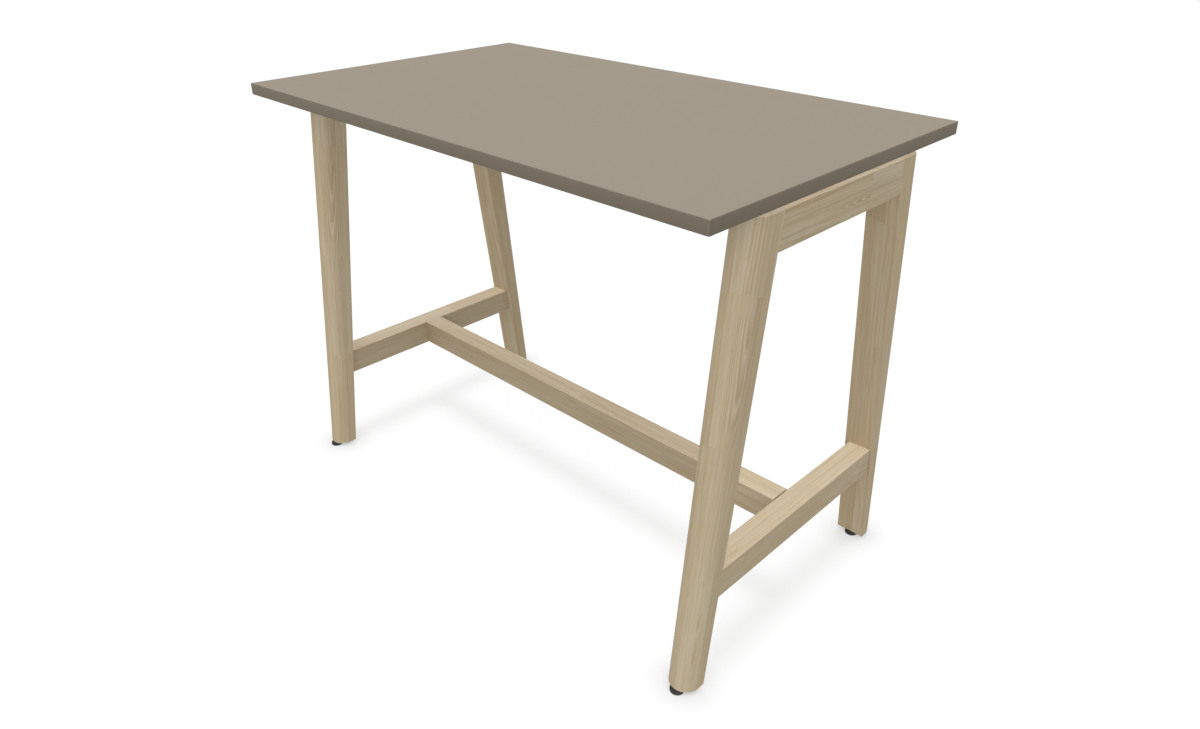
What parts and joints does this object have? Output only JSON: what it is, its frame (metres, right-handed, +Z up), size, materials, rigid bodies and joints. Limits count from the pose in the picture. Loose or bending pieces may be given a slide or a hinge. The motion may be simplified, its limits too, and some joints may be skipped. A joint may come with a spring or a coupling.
{
  "type": "high table",
  "caption": "Standing-height table: plain taupe top on splayed wooden end frames with D-shaped legs, foot rails, a long stretcher and screw feet.",
  "frame": {"origin": "on the floor, under the middle of the table top", "axes": "+X along the top's length, from the left end to the right end; +Y from the front, where the picture was taken, to the back; +Z up"},
  "size_m": [1.4, 0.825, 1.05],
  "materials": {
    "decor_laminate": "plain taupe laminate, matt",
    "backing_laminate": "plain taupe laminate, matt",
    "edge_band": "plain taupe plastic edging, matt",
    "chipboard": "raw chipboard",
    "ash": "pale solid wood glued up from blocks, matt clear lacquer",
    "beech_dowel": "raw fluted beech",
    "black_plastic": "black moulded plastic, fine grain",
    "black_steel": "blackened steel, satin",
    "zinc_steel": "bright zinc plate"
  },
  "bodies": {
    "table": {"top_laminate": "decor_laminate", "backing_laminate": "backing_laminate", "edge_band_front": "edge_band", "edge_band_back": "edge_band", "edge_band_left": "edge_band", "edge_band_right": "edge_band", "top_core": "chipboard", "leg_front_left": "ash", "leg_front_right": "ash", "leg_back_left": "ash", "leg_back_right": "ash", "top_rail_left": "ash", "top_rail_right": "ash", "foot_rail_left": "ash", "foot_rail_right": "ash", "stretcher": "ash", "frame_dowels_left": "beech_dowel", "frame_dowels_right": "beech_dowel", "stretcher_dowels": "beech_dowel", "top_spacers_left": "black_plastic", "top_spacers_right": "black_plastic", "top_screws_left": "zinc_steel", "top_screws_right": "zinc_steel", "top_washers_left": "zinc_steel", "top_washers_right": "zinc_steel", "top_inserts_left": "zinc_steel", "top_inserts_right": "zinc_steel", "stretcher_bolts": "zinc_steel", "stretcher_crescents": "zinc_steel", "stretcher_nuts": "zinc_steel", "foot_inserts": "zinc_steel"},
    "pad_front_left": {"foot_pad_front_left": "black_plastic"},
    "stem_front_left": {"foot_stem_front_left": "black_steel"},
    "pad_back_left": {"foot_pad_back_left": "black_plastic"},
    "stem_back_left": {"foot_stem_back_left": "black_steel"},
    "pad_front_right": {"foot_pad_front_right": "black_plastic"},
    "stem_front_right": {"foot_stem_front_right": "black_steel"},
    "pad_back_right": {"foot_pad_back_right": "black_plastic"},
    "stem_back_right": {"foot_stem_back_right": "black_steel"}
  },
  "joints": [
    {"name": "foot_height_front_left", "type": "slide", "parent": "table", "child": "pad_front_left", "axis": [0, 0, -1], "range_m": [0, 0.0121]},
    {"name": "foot_turn_front_left", "type": "hinge", "parent": "pad_front_left", "child": "stem_front_left", "pos_m": [-0.66, -0.36975, 0.02], "axis": [0, 0, -1], "range_deg": [0, 3456]},
    {"name": "foot_height_back_left", "type": "slide", "parent": "table", "child": "pad_back_left", "axis": [0, 0, -1], "range_m": [0, 0.0121]},
    {"name": "foot_turn_back_left", "type": "hinge", "parent": "pad_back_left", "child": "stem_back_left", "pos_m": [-0.66, 0.33575, 0.02], "axis": [0, 0, -1], "range_deg": [0, 3456]},
    {"name": "foot_height_front_right", "type": "slide", "parent": "table", "child": "pad_front_right", "axis": [0, 0, -1], "range_m": [0, 0.0121]},
    {"name": "foot_turn_front_right", "type": "hinge", "parent": "pad_front_right", "child": "stem_front_right", "pos_m": [0.66, -0.36975, 0.02], "axis": [0, 0, -1], "range_deg": [0, 3456]},
    {"name": "foot_height_back_right", "type": "slide", "parent": "table", "child": "pad_back_right", "axis": [0, 0, -1], "range_m": [0, 0.0121]},
    {"name": "foot_turn_back_right", "type": "hinge", "parent": "pad_back_right", "child": "stem_back_right", "pos_m": [0.66, 0.33575, 0.02], "axis": [0, 0, -1], "range_deg": [0, 3456]}
  ],
  "couplings": [
    {"joint": "foot_height_front_left", "follows": "foot_turn_front_left", "m_per_rad": 0.00019894},
    {"joint": "foot_height_back_left", "follows": "foot_turn_back_left", "m_per_rad": 0.00019894},
    {"joint": "foot_height_front_right", "follows": "foot_turn_front_right", "m_per_rad": 0.00019894},
    {"joint": "foot_height_back_right", "follows": "foot_turn_back_right", "m_per_rad": 0.00019894}
  ]
}
